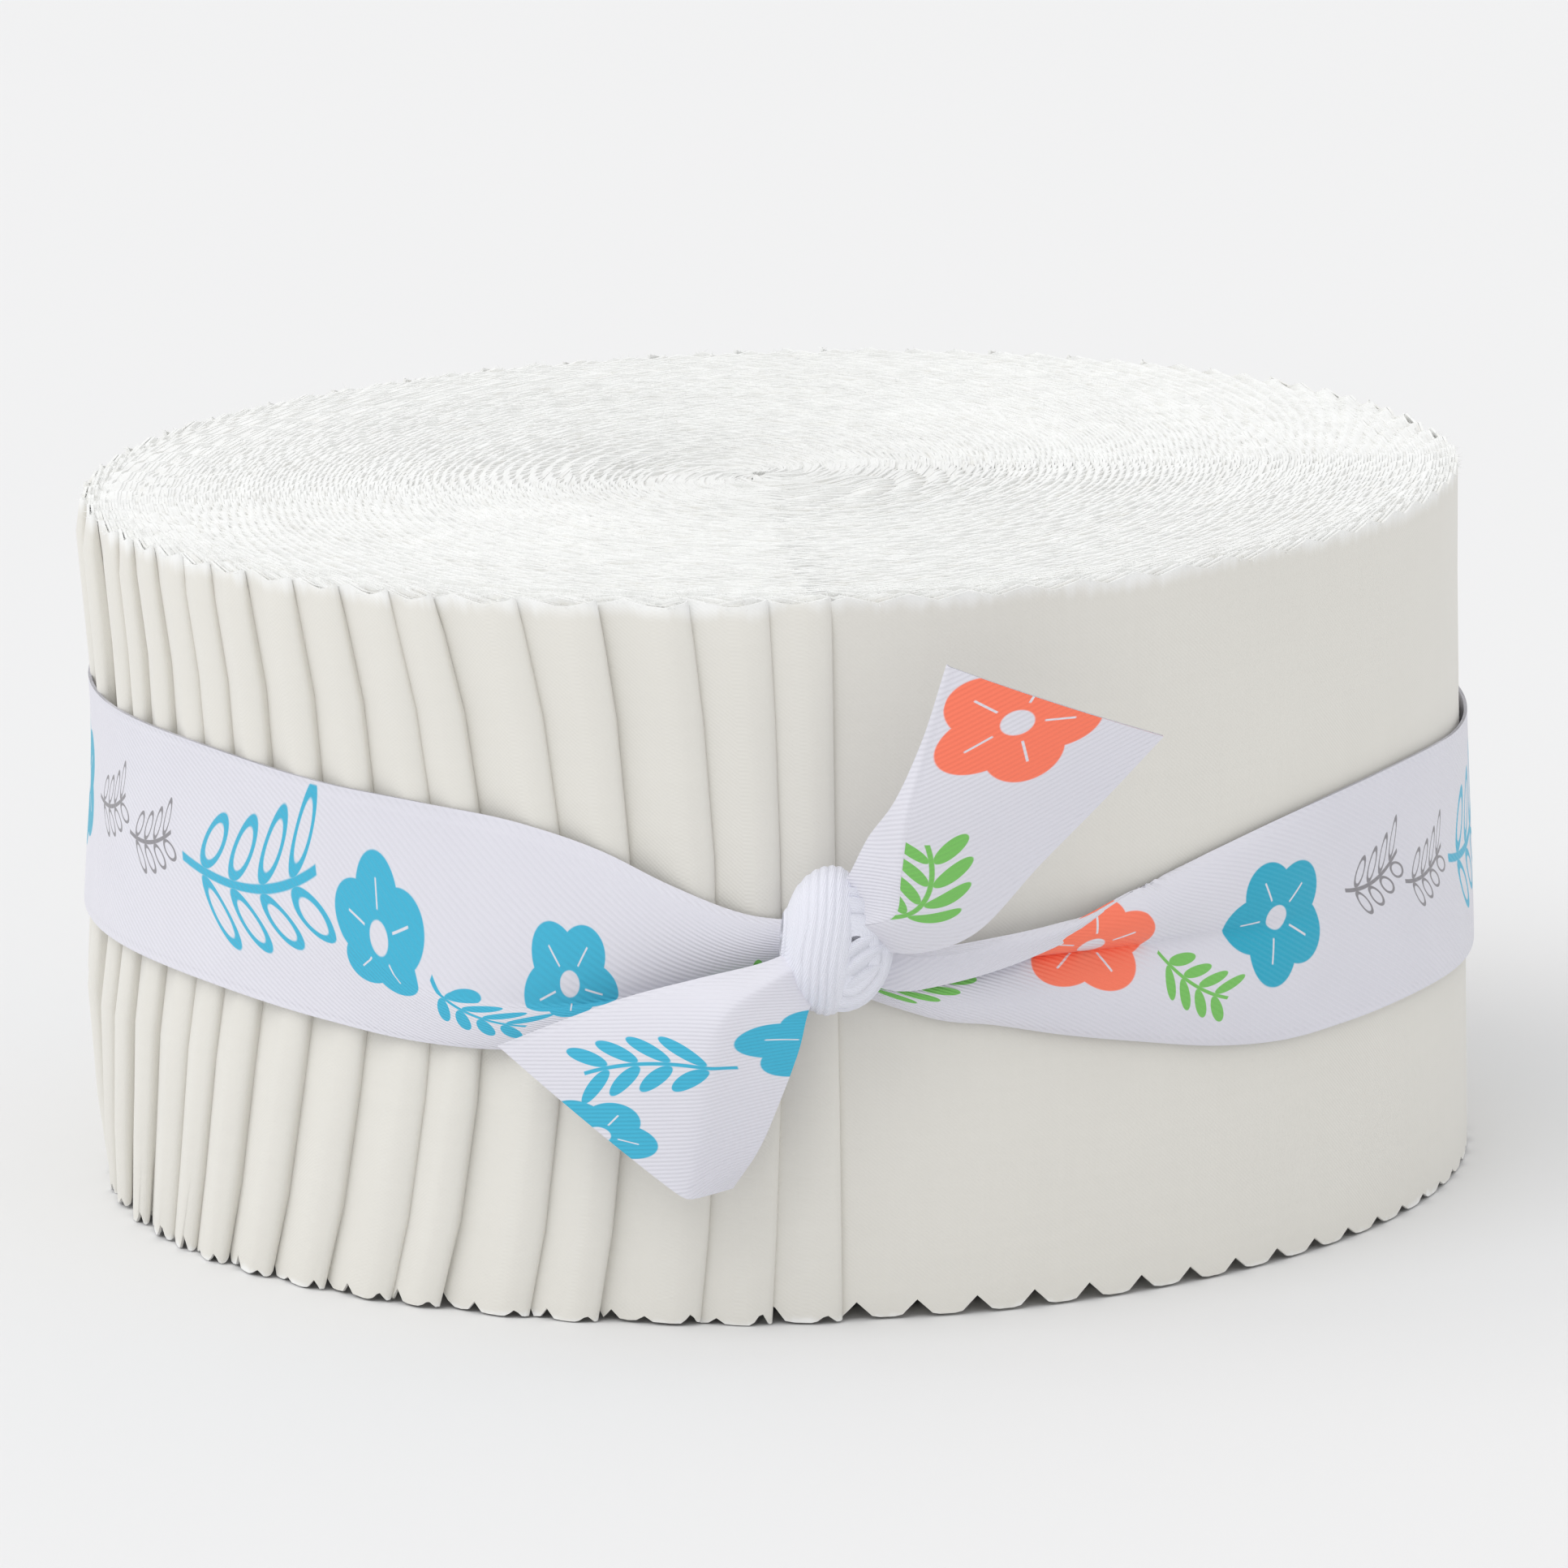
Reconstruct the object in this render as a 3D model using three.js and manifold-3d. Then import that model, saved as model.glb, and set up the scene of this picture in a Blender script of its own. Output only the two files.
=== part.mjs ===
// A roll of forty white cotton strips, wound as one bundle and tied round with a printed ribbon.
//
// Units are millimetres and +Z is up. The roll stands on its flat end, and the origin is the
// middle of that end. Angles are in degrees round the roll, from the front (-Y) towards +X.

import * as THREE from "three";
import { mergeVertices } from "three/addons/utils/BufferGeometryUtils.js";
import Module from "manifold-3d";

const wasm = await Module();
wasm.setup();

// The strips and the spiral they are wound in
const STRIP_WIDTH = 63.5;
const STRIPS = 40;
const FOLDED_STRIP = 0.55;
const BUNDLE = STRIPS * FOLDED_STRIP;
const CORE = { x: -0.5, y: -3.0 };
const FRONT_SPIRAL_RADIUS = 60;

// The point that angles are measured about, and the wall's radius from it: a mean radius, with
// parts that grow towards the front and towards the right, and two parts that make it oval
const CENTRE = { x: 1.0, y: 2.0 };
const WALL = { radius: 63.3, front: 1.8, right: -1.1, oval: 0.8, ovalAslant: 0.25 };

// The fold at the outer end of each strip: its angle near the top and near the foot of the roll.
// The first belongs to the bundle's innermost strip, which reaches furthest round, and each of the
// others ends a step back to its left, on top of the one before.
const SHOWN_FOLDS = [
  { top: 3.6, foot: 3.1 },
  { top: -0.8, foot: -1.8 },
  { top: -6.3, foot: -7.0 },
  { top: -13.0, foot: -14.5 },
  { top: -18.9, foot: -19.9 },
  { top: -25.6, foot: -27.2 },
  { top: -29.7, foot: -31.7 },
  { top: -34.8, foot: -38.3 },
  { top: -39.8, foot: -44.3 },
  { top: -45.3, foot: -50.3 },
  { top: -49.9, foot: -55.3 },
  { top: -53.9, foot: -59.3 },
  { top: -58.9, foot: -65.2 },
  { top: -63.6, foot: -71.1 },
  { top: -67.3, foot: -76.0 },
];
const FOLD_TOP_HEIGHT = 55;
const FOLD_FOOT_HEIGHT = 9;
const LAST_FOLD = -262;
const FOLD_PINCH = 2.4;
const PINCH_HEIGHT = 31;
const PINCH_REACH = 23.5;
const FOLDS_TO_FULL_PINCH = 5;

// The step down in the wall at each fold: the strip's face rises to a puffed lip, with the crease
// over the next strip beside it
const LIP_HEIGHT = 0.4;
const CREASE_DEPTH = 1.1;
const FACE_OFFSET = -2.4;
const LIP_OFFSET = -0.8;
const CREASE_OFFSET = 0.25;
const LAST_CREASE_REACH = 5;

// The wall is drawn in above the ribbon, and eased at the rims
const WAIST = { height: 44, reach: 24, left: 1.5, right: 0.3 };
const RIM_EASE = 0.4;

// Pinked edges
const TEETH = 76;
const TOOTH_HEIGHT = 1.6;
const TOOTH_REACH = 2.0;
const TOOTH_ROOT = 2.5;
const TOOTH_TO_FOLD = 0.55;

// The groove between one turn of the bundle and the next, on both ends of the roll
const GROOVE_WIDTH = 0.8;
const GROOVE_DEPTH = 1.5;
const GROOVE_START_TURN = 0.2;
const GROOVE_END_TURN = 2.5;
const GROOVE_STEPS_PER_TURN = 36;

// The ribbon: its band round the roll, drawn into a knot at the front, and two free tails
const RIBBON_THICKNESS = 1.0;
const GAP = 0.35;
const BAND_SECTIONS = [
  { angle: 7.8, foot: 27.6, top: 32.6 },
  { angle: 11, foot: 26.4, top: 32.8 },
  { angle: 15, foot: 25.6, top: 33.0 },
  { angle: 20, foot: 24.3, top: 33.8 },
  { angle: 27, foot: 22.6, top: 35.6 },
  { angle: 34, foot: 21.0, top: 37.8 },
  { angle: 43, foot: 20.0, top: 39.7 },
  { angle: 58, foot: 20.0, top: 41.0 },
  { angle: 77, foot: 19.4, top: 40.4 },
  { angle: 180, foot: 23.0, top: 44.0 },
  { angle: 283, foot: 26.2, top: 47.0 },
  { angle: 310, foot: 26.0, top: 46.8 },
  { angle: 322, foot: 25.0, top: 45.7 },
  { angle: 331, foot: 24.2, top: 45.0 },
  { angle: 340, foot: 24.4, top: 43.7 },
  { angle: 346, foot: 25.6, top: 41.6 },
  { angle: 351, foot: 27.2, top: 38.8 },
  { angle: 357, foot: 29.2, top: 35.7 },
  { angle: 358.6, foot: 29.6, top: 34.8 },
];
const BAND_STEP = 5;
const BAND_ACROSS = 6;
const GATHER_HEIGHT = 1.6;
const GATHER_REACH = 24;

const KNOT = { x: 4.7, z: 34.8, halfWidth: 4.9, halfHeight: 5.9, halfDepth: 4.1 };
const KNOT_SQUARENESS = 0.82;
const KNOT_STRAP_DEPTH = 0.45;
const KNOT_STRAPS = 3;
const KNOT_COLUMNS = 30;
const KNOT_ROWS = 15;

// Sections of each tail from the knot to its cut end: a selvage, a lengthwise crease and the other
// selvage, in the order that turns the printed side outwards
const UPPER_TAIL = [
  { first: [10.1, -68.6, 35.2], crease: [9.9, -70.6, 38.4], second: [8.5, -69.0, 40.6] },
  { first: [16.2, -70.4, 35.6], crease: [11.6, -74.2, 43.2], second: [8.8, -70.8, 45.2] },
  { first: [22.0, -71.0, 41.2], crease: [13.4, -75.2, 48.0], second: [10.7, -71.8, 49.8] },
  { first: [27.6, -71.4, 46.8], crease: [18.2, -76.0, 52.4], second: [12.7, -72.6, 54.5] },
  { first: [32.8, -71.6, 52.4], crease: [23.8, -76.5, 57.2], second: [14.8, -73.2, 59.2] },
];
const LOWER_TAIL = [
  { first: [-0.7, -67.6, 33.4], crease: [-0.5, -70.4, 31.4], second: [1.3, -69.6, 29.2] },
  { first: [-7.0, -68.0, 32.0], crease: [-4.8, -72.2, 29.2], second: [1.0, -70.4, 25.6] },
  { first: [-13.0, -67.0, 30.2], crease: [-6.6, -72.0, 24.8], second: [-0.4, -70.0, 21.6] },
  { first: [-18.6, -65.6, 28.0], crease: [-7.6, -71.2, 19.4], second: [-2.4, -69.0, 17.4] },
  { first: [-24.2, -63.6, 25.5], crease: [-8.5, -70.2, 13.2], second: [-4.6, -67.8, 13.9] },
];
const TAIL_STEPS = 12;
const TAIL_STEPS_ACROSS = 3;

const COTTON = { color: 0xeceae4, roughness: 0.95, metalness: 0 };
const RIBBON = { color: 0xe6e5ee, roughness: 0.6, metalness: 0 };

const radians = THREE.MathUtils.degToRad;
const { clamp, lerp } = THREE.MathUtils;

// A value read from points in rising order of x, straight between them and level past the ends.
function interpolate(x, points) {
  const next = points.findIndex((point) => point.x >= x);
  if (next === 0) return points[0].y;
  if (next < 0) return points[points.length - 1].y;
  const low = points[next - 1];
  const high = points[next];
  return lerp(low.y, high.y, (x - low.x) / (high.x - low.x));
}

// A smooth hump of height 1 at the centre that falls to 0 at the reach: the square of a cosine.
function hump(x, centre, reach) {
  const share = clamp((x - centre) / reach, -1, 1);
  return Math.cos((share * Math.PI) / 2) ** 2;
}

// Angle of strip k's fold at a height: a straight line through its two marks, pushed towards the
// front by the ribbon, most at the ribbon and by the square of the distance from it.
function foldAngle(k, z) {
  const shown = SHOWN_FOLDS.length;
  const last = SHOWN_FOLDS[shown - 1];
  const hiddenShare = clamp((k - shown + 1) / (STRIPS - shown), 0, 1);
  const mark = SHOWN_FOLDS[Math.min(k, shown - 1)];
  const top = lerp(mark.top, LAST_FOLD, hiddenShare);
  const foot = lerp(k < shown ? mark.foot : last.foot, LAST_FOLD, hiddenShare);
  const line = lerp(foot, top, (z - FOLD_FOOT_HEIGHT) / (FOLD_TOP_HEIGHT - FOLD_FOOT_HEIGHT));
  const pinch = FOLD_PINCH * Math.min(1, k / FOLDS_TO_FULL_PINCH) * (1 - hiddenShare);
  return line + pinch * (1 - ((z - PINCH_HEIGHT) / PINCH_REACH) ** 2);
}

const FOLD_ORDER = Array.from({ length: STRIPS }, (_, i) => STRIPS - 1 - i);
const MIDDLE_FOLDS = FOLD_ORDER.map((k) => foldAngle(k, PINCH_HEIGHT));
const FRONT_FOLD = MIDDLE_FOLDS[STRIPS - 1];

// Radius of the wall at the crests of its lips.
function crestRadius(angle) {
  const turn = radians(angle);
  const leaning = WALL.front * Math.cos(turn) + WALL.right * Math.sin(turn);
  return WALL.radius + leaning + WALL.oval * Math.cos(2 * turn) + WALL.ovalAslant * Math.sin(2 * turn);
}

// Radius that the wall of a perfect spiral has: it gains one bundle thickness a turn towards +X,
// and loses one folded strip at each fold.
const SPIRAL_POINTS = FOLD_ORDER.map((k, i) => {
  const turns = (MIDDLE_FOLDS[i] - FRONT_FOLD) / 360;
  return { x: MIDDLE_FOLDS[i], y: FRONT_SPIRAL_RADIUS + BUNDLE * turns + FOLDED_STRIP * k };
});

function spiralRadius(angle) {
  const wrapped = wrapAngle(angle);
  const plain = FRONT_SPIRAL_RADIUS - FOLDED_STRIP + (BUNDLE * (wrapped - FRONT_FOLD)) / 360;
  return wrapped > FRONT_FOLD ? plain : interpolate(wrapped, SPIRAL_POINTS);
}

// The same direction as an angle from the last fold up to one full turn past it.
function wrapAngle(angle) {
  return THREE.MathUtils.euclideanModulo(angle - LAST_FOLD, 360) + LAST_FOLD;
}

// How far the wall is drawn in at a height: most above the ribbon on the left, little on the right.
function waistDepth(angle, z) {
  const leftShare = 0.5 - 0.5 * Math.sin(radians(angle));
  const depth = lerp(WAIST.right, WAIST.left, leftShare);
  return depth * hump(z, WAIST.height, WAIST.reach);
}

// How far a vertical line on the wall leans at a height, carried along by the folds beside it.
function leanAt(angle, z) {
  const shifts = FOLD_ORDER.map((k, i) => ({ x: MIDDLE_FOLDS[i], y: foldAngle(k, z) - MIDDLE_FOLDS[i] }));
  const leans = [...shifts, { x: LAST_FOLD + 360, y: shifts[0].y }];
  return interpolate(angle, leans);
}

// Height of the pinked edge over its tooth tips: a triangle wave round the roll.
function toothNotch(angle) {
  const phase = THREE.MathUtils.euclideanModulo((angle * TEETH) / 360, 1);
  return TOOTH_HEIGHT * (1 - Math.abs(2 * phase - 1));
}

// The mesh's columns round the roll. Each fold has three, at its face, its lip and its crease, and
// the teeth have one at each tip and notch that lies clear of a fold.
function rollColumns() {
  const folds = MIDDLE_FOLDS.flatMap((angle) => [
    { angle: angle + FACE_OFFSET, depth: LIP_HEIGHT },
    { angle: angle + LIP_OFFSET, depth: 0 },
    { angle: angle + CREASE_OFFSET, depth: CREASE_DEPTH },
  ]);
  const plainStart = { angle: FRONT_FOLD + LAST_CREASE_REACH, depth: LIP_HEIGHT };
  const shaped = [...folds, plainStart];
  const depthPoints = shaped.map((column) => ({ x: column.angle, y: column.depth }));
  const toothStep = 180 / TEETH;
  const firstTooth = Math.ceil(folds[0].angle / toothStep);
  const teeth = Array.from({ length: 2 * TEETH }, (_, i) => (firstTooth + i) * toothStep)
    .filter((angle) => shaped.every((c) => Math.abs(c.angle - angle) > TOOTH_TO_FOLD))
    .filter((angle) => angle < folds[0].angle + 360 - TOOTH_TO_FOLD)
    .map((angle) => ({ angle, depth: interpolate(angle, depthPoints) }));
  return [...shaped, ...teeth].sort((a, b) => a.angle - b.angle);
}

// The mesh's rows from the bottom to the top: a height, how far the row lies inside the wall, and
// which way the teeth move it.
function rollRows() {
  const bottom = [
    { z: 0, inset: TOOTH_ROOT + RIM_EASE, notch: 0 },
    { z: 0, inset: TOOTH_REACH + RIM_EASE, notch: 1 },
    { z: 0, inset: RIM_EASE, notch: 1 },
  ];
  const wall = [2.6, 12, 20, 31, 42, 52, STRIP_WIDTH - 2.6].map((z) => ({ z, inset: 0, notch: 0 }));
  const top = bottom.map((row) => ({ z: STRIP_WIDTH, inset: row.inset, notch: -row.notch }));
  return [...bottom, ...wall, ...top.reverse()];
}

function wallPoint(angle, radius, z) {
  const turn = radians(angle);
  return new THREE.Vector3(CENTRE.x + radius * Math.sin(turn), CENTRE.y - radius * Math.cos(turn), z);
}

function rollGeometry() {
  const columns = rollColumns();
  const rows = rollRows();
  const poles = [{ z: 0, pole: true }, ...rows, { z: STRIP_WIDTH, pole: true }];
  const profile = poles.map((row) => new THREE.Vector2(row.pole ? 0 : WALL.radius, row.z));
  const geometry = new THREE.LatheGeometry(profile, columns.length);
  const { position } = geometry.attributes;
  for (let index = 0; index < position.count; index += 1) {
    const column = columns[Math.floor(index / poles.length) % columns.length];
    const row = poles[index % poles.length];
    const angle = column.angle + (row.pole ? 0 : leanAt(column.angle, row.z));
    const wall = crestRadius(column.angle) - column.depth - waistDepth(angle, row.z);
    const point = wallPoint(angle, row.pole ? 0 : wall - row.inset, row.z);
    point.z += row.pole ? 0 : row.notch * toothNotch(angle);
    position.setXYZ(index, point.x, point.y, point.z);
  }
  return geometry;
}

// The spiral between the bundle's turns: its radius grows by one bundle thickness a turn. The wall
// isn't a perfect spiral, so a place is a share of the way from the core to the wall.
class BundleSpiral extends THREE.Curve {
  constructor(z) {
    super();
    this.z = z;
  }

  getPoint(share) {
    const turn = lerp(GROOVE_START_TURN, GROOVE_END_TURN, share);
    const frontTurn = (FRONT_SPIRAL_RADIUS - FOLDED_STRIP) / BUNDLE + 1;
    const angle = FRONT_FOLD + 360 * (turn - frontTurn);
    const wall = wallPoint(angle, crestRadius(angle), this.z);
    return new THREE.Vector3(CORE.x, CORE.y, this.z).lerp(wall, (BUNDLE * turn) / spiralRadius(angle));
  }
}

function grooveGeometry(z) {
  const section = new THREE.Shape();
  section.moveTo(-GROOVE_DEPTH, -GROOVE_WIDTH / 2);
  section.lineTo(GROOVE_DEPTH, -GROOVE_WIDTH / 2);
  section.lineTo(GROOVE_DEPTH, GROOVE_WIDTH / 2);
  section.lineTo(-GROOVE_DEPTH, GROOVE_WIDTH / 2);
  section.closePath();
  const steps = Math.round((GROOVE_END_TURN - GROOVE_START_TURN) * GROOVE_STEPS_PER_TURN);
  return new THREE.ExtrudeGeometry(section, { steps, extrudePath: new BundleSpiral(z), bevelEnabled: false });
}

// A closed mesh as a solid, with shared vertices merged and empty triangles left out.
function solidOf(geometry) {
  const bare = geometry.clone();
  bare.deleteAttribute("normal");
  bare.deleteAttribute("uv");
  const merged = mergeVertices(bare, 1e-4);
  const triangles = [];
  for (let i = 0; i < merged.index.count; i += 3) {
    const corners = [0, 1, 2].map((offset) => merged.index.getX(i + offset));
    if (new Set(corners).size === 3) triangles.push(...corners);
  }
  const mesh = new wasm.Mesh({
    numProp: 3,
    vertProperties: new Float32Array(merged.attributes.position.array),
    triVerts: new Uint32Array(triangles),
  });
  return new wasm.Manifold(mesh);
}

function geometryOf(solid) {
  const mesh = solid.getMesh();
  const geometry = new THREE.BufferGeometry();
  geometry.setAttribute("position", new THREE.BufferAttribute(mesh.vertProperties, 3));
  geometry.setIndex(new THREE.BufferAttribute(mesh.triVerts, 1));
  return geometry;
}

function roll() {
  const wound = solidOf(rollGeometry());
  const topGroove = solidOf(grooveGeometry(STRIP_WIDTH));
  const bottomGroove = solidOf(grooveGeometry(0));
  return geometryOf(wound.subtract(topGroove).subtract(bottomGroove));
}

// A closed sheet from a grid of points, with an even thickness set off along the grid's normals.
// surface(along, across) gives a point and the outward direction there, both for shares 0 to 1.
function sheetGeometry(surface, stepsAlong, stepsAcross) {
  const ring = 2 * (stepsAcross + 1);
  const sections = [];
  for (let i = 0; i <= stepsAlong; i += 1) {
    const near = [];
    const far = [];
    for (let j = 0; j <= stepsAcross; j += 1) {
      const { point, outward } = surface(i / stepsAlong, j / stepsAcross);
      near.push(point);
      far.push(point.clone().addScaledVector(outward, RIBBON_THICKNESS));
    }
    sections.push([...near, ...far.reverse()]);
  }
  const vertices = sections.flat().flatMap((p) => p.toArray());
  const triangles = [];
  for (let i = 0; i < stepsAlong; i += 1) {
    for (let j = 0; j < ring; j += 1) {
      const here = i * ring + j;
      const beside = i * ring + ((j + 1) % ring);
      triangles.push(here, beside, here + ring, beside, beside + ring, here + ring);
    }
  }
  for (let j = 0; j < stepsAcross; j += 1) {
    const start = [j, j + 1, ring - 2 - j, ring - 1 - j];
    const end = start.map((corner) => corner + stepsAlong * ring);
    triangles.push(start[0], start[2], start[1], start[0], start[3], start[2]);
    triangles.push(end[0], end[1], end[2], end[0], end[2], end[3]);
  }
  const geometry = new THREE.BufferGeometry();
  geometry.setAttribute("position", new THREE.Float32BufferAttribute(vertices, 3));
  geometry.setIndex(triangles);
  return geometry;
}

// The band follows the lip crests, a gap clear of them. Towards the knot its width shrinks, and
// the cloth rises in two ridges with a crease between them.
function bandSurface(along, across) {
  const first = BAND_SECTIONS[0].angle;
  const last = BAND_SECTIONS[BAND_SECTIONS.length - 1].angle;
  const angle = lerp(first, last, along);
  const foot = interpolate(angle, BAND_SECTIONS.map((section) => ({ x: section.angle, y: section.foot })));
  const top = interpolate(angle, BAND_SECTIONS.map((section) => ({ x: section.angle, y: section.top })));
  const z = lerp(foot, top, across);
  const gather = 1 - clamp(Math.min(angle - first, last - angle) / GATHER_REACH, 0, 1);
  const ridge = GATHER_HEIGHT * gather * Math.abs(Math.sin(2 * Math.PI * across));
  const radius = crestRadius(angle) - waistDepth(angle, z) + GAP + ridge;
  const outward = new THREE.Vector3(Math.sin(radians(angle)), -Math.cos(radians(angle)), 0);
  return { point: wallPoint(angle, radius, z), outward };
}

function band() {
  const span = BAND_SECTIONS[BAND_SECTIONS.length - 1].angle - BAND_SECTIONS[0].angle;
  return sheetGeometry(bandSurface, Math.round(span / BAND_STEP), BAND_ACROSS);
}

// A tail is a smooth strip through its sections, folded at the crease.
function tailSurface(sections) {
  const lines = ["first", "crease", "second"].map(
    (edge) => new THREE.CatmullRomCurve3(sections.map((section) => new THREE.Vector3(...section[edge]))),
  );
  const pointAt = (along, across) => {
    const [first, crease, second] = lines.map((line) => line.getPoint(along));
    return across < 0.5 ? first.lerp(crease, 2 * across) : crease.lerp(second, 2 * across - 1);
  };
  return (along, across) => {
    const [first, , second] = lines.map((line) => line.getPoint(along));
    const ahead = lines[1].getTangent(along);
    const outward = ahead.cross(second.sub(first)).normalize();
    return { point: pointAt(along, across), outward };
  };
}

function tail(sections) {
  return sheetGeometry(tailSurface(sections), TAIL_STEPS, 2 * TAIL_STEPS_ACROSS);
}

// The knot is a squared ball with straps wound over it on a slant.
function knot() {
  const geometry = new THREE.SphereGeometry(1, KNOT_COLUMNS, KNOT_ROWS);
  const { position } = geometry.attributes;
  const squared = (value) => Math.sign(value) * Math.abs(value) ** KNOT_SQUARENESS;
  const seat = crestRadius(FRONT_FOLD) - waistDepth(FRONT_FOLD, KNOT.z) + GAP;
  const centreY = CENTRE.y - seat - KNOT.halfDepth;
  for (let i = 0; i < position.count; i += 1) {
    const point = new THREE.Vector3().fromBufferAttribute(position, i);
    const slant = Math.atan2(point.z, point.x) + point.y * 1.2;
    const strap = KNOT_STRAP_DEPTH * Math.abs(Math.sin(KNOT_STRAPS * slant)) * (1 - point.y * point.y);
    position.setXYZ(
      i,
      KNOT.x + squared(point.x) * (KNOT.halfWidth - strap),
      centreY - squared(point.z) * (KNOT.halfDepth - strap),
      KNOT.z + squared(point.y) * KNOT.halfHeight,
    );
  }
  return geometry;
}

function addPart(group, name, geometry, look) {
  const mesh = new THREE.Mesh(geometry, new THREE.MeshStandardMaterial(look));
  mesh.name = name;
  group.add(mesh);
}

const jellyRoll = new THREE.Group();
addPart(jellyRoll, "strip_roll", roll(), COTTON);
addPart(jellyRoll, "ribbon_band", band(), RIBBON);
addPart(jellyRoll, "ribbon_knot", knot(), RIBBON);
addPart(jellyRoll, "ribbon_tail_upper", tail(UPPER_TAIL), RIBBON);
addPart(jellyRoll, "ribbon_tail_lower", tail(LOWER_TAIL), RIBBON);

export default jellyRoll;
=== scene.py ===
"""A roll of forty white cotton strips, wound as one bundle and tied round with a printed ribbon.

Shapes are worked out in millimetres, in the frame of the solids, and made into meshes in metres.
Angles are in degrees round the roll, from the front (-Y) towards +X.
"""

import math

import bpy
import numpy as np
from mathutils import Matrix, Vector


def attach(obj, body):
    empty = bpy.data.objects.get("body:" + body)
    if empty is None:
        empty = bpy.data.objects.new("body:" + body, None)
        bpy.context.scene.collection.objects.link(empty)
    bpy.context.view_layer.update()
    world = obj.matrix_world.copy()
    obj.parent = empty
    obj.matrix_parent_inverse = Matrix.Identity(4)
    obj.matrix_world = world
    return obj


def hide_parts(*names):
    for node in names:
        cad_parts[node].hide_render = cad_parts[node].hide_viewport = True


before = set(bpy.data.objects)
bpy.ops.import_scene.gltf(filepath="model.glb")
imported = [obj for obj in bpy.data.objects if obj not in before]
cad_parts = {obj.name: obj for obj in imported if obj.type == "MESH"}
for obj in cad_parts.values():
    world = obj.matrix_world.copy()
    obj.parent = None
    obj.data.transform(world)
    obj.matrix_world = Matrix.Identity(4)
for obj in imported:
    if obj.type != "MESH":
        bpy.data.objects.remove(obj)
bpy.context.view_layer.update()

MM = 0.001

# The strips and the spiral they are wound in
STRIP_WIDTH = 63.5
STRIPS = 40
FOLDED_STRIP = 0.55
BUNDLE = STRIPS * FOLDED_STRIP
CLOTH = 0.255
CORE = (-0.5, -3.0)
CORE_RADIUS = 0.8
FRONT_SPIRAL_RADIUS = 60.0
FRONT_TURN = (FRONT_SPIRAL_RADIUS - FOLDED_STRIP) / BUNDLE + 1

# The point that angles are measured about, and the wall's radius from it: a mean radius, with
# parts that grow towards the front and towards the right, and two parts that make it oval
CENTRE = (1.0, 2.0)
WALL = {"radius": 63.3, "front": 1.8, "right": -1.1, "oval": 0.8, "oval_aslant": 0.25}

# The fold at the outer end of each strip: its angle near the top and near the foot of the roll.
# The first belongs to the bundle's innermost strip, which reaches furthest round, and each of the
# others ends a step back to its left, on top of the one before.
FOLD_TOPS = (
    3.6, -0.8, -6.3, -13.0, -18.9, -25.6, -29.7, -34.8,
    -39.8, -45.3, -49.9, -53.9, -58.9, -63.6, -67.3,
)
FOLD_FEET = (
    3.1, -1.8, -7.0, -14.5, -19.9, -27.2, -31.7, -38.3,
    -44.3, -50.3, -55.3, -59.3, -65.2, -71.1, -76.0,
)
FOLD_TOP_HEIGHT = 55.0
FOLD_FOOT_HEIGHT = 9.0
LAST_FOLD = -262.0
FOLD_PINCH = 2.4
PINCH_HEIGHT = 31.0
PINCH_REACH = 23.5
FOLDS_TO_FULL_PINCH = 5

# A fold's puffed lip: the height of the wall's crests above a strip's face, how far a free lip
# rises, how far its round nose reaches back above and below, and where along the cloth it ends
LIP_HEIGHT = 0.75
LIP_RISE = 1.1
LIP_UNEVENNESS = (0.9, 1.15)
FOLD_ROUND = 2.5
FOLD_TUCK = 0.12
FOLD_POINTS = 17
LIP_LENGTH = 8.0
# The plain part of the wall, right of the first fold, comes up towards the crests over this angle
PLAIN_RISE = 0.6
PLAIN_EASE = 12.0

# The wall is drawn in above the ribbon, and at the foot on the left. Layers share the wall's lean
# more, the further out they lie: not below the first share of its radius, in full at the second.
WAIST = {"height": 44.0, "reach": 24.0, "left": 1.5, "right": 0.3}
FOOT_WAIST = {"height": 0.0, "reach": 17.0, "left": 1.3, "right": 0.2}
LEAN_SHARES = (0.7, 0.97)

# Pinked edges: the teeth are frayed short at the top, less so at its rim, and at the foot they
# are broad with narrow notches between them
TOOTH_PITCH = 4.75
TOP_TOOTH = 0.25
RIM_TOOTH = 0.65
FOOT_TOOTH = 1.4
FOOT_TIP_SHARE = 0.45
# The shortest and longest teeth at the feet of the pleats, as shares of those of the plain wall,
# and how many times as close they lie
PLEAT_TEETH = (0.6, 1.0)
PLEAT_TEETH_CLOSER = 2
# How much the teeth of one pleat differ in length, and how fast, in radians a millimetre
TOOTH_VARIETY = 0.3
TOOTH_VARIETY_PACE = 1.3
# The plain wall's teeth get shorter round to its right, between these angles
TEETH_FADE = (15.0, 75.0)
FADED_TEETH = 0.4
# Steps of a sample that bring the plain wall's teeth to their places
TEETH_SHIFT = 4

# Each edge's gap to the floor or to the full width, its slow wave's height, and the wave's length
# in millimetres a radian. A wave starts anywhere, and upper edges also differ from each other.
FOOT_EDGE = {"gap": 0.13, "wave": 0.08, "length": 31.0}
TOP_EDGE = {"gap": 0.1, "wave": 0.06, "length": 47.0}
ANYWHERE = (0, 7)
TOP_UNEVENNESS = (-0.06, 0.06)

# The ribbon
RIBBON_WIDTH = 21.0
RIBBON_CLOTH = 0.3


# Numbers and curves

def hump(x, centre, reach):
    """A smooth hump of height 1 at the centre that falls to 0 at the reach: the square of a cosine."""
    share = np.clip((x - centre) / reach, -1, 1)
    return np.cos(share * np.pi / 2) ** 2


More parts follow.
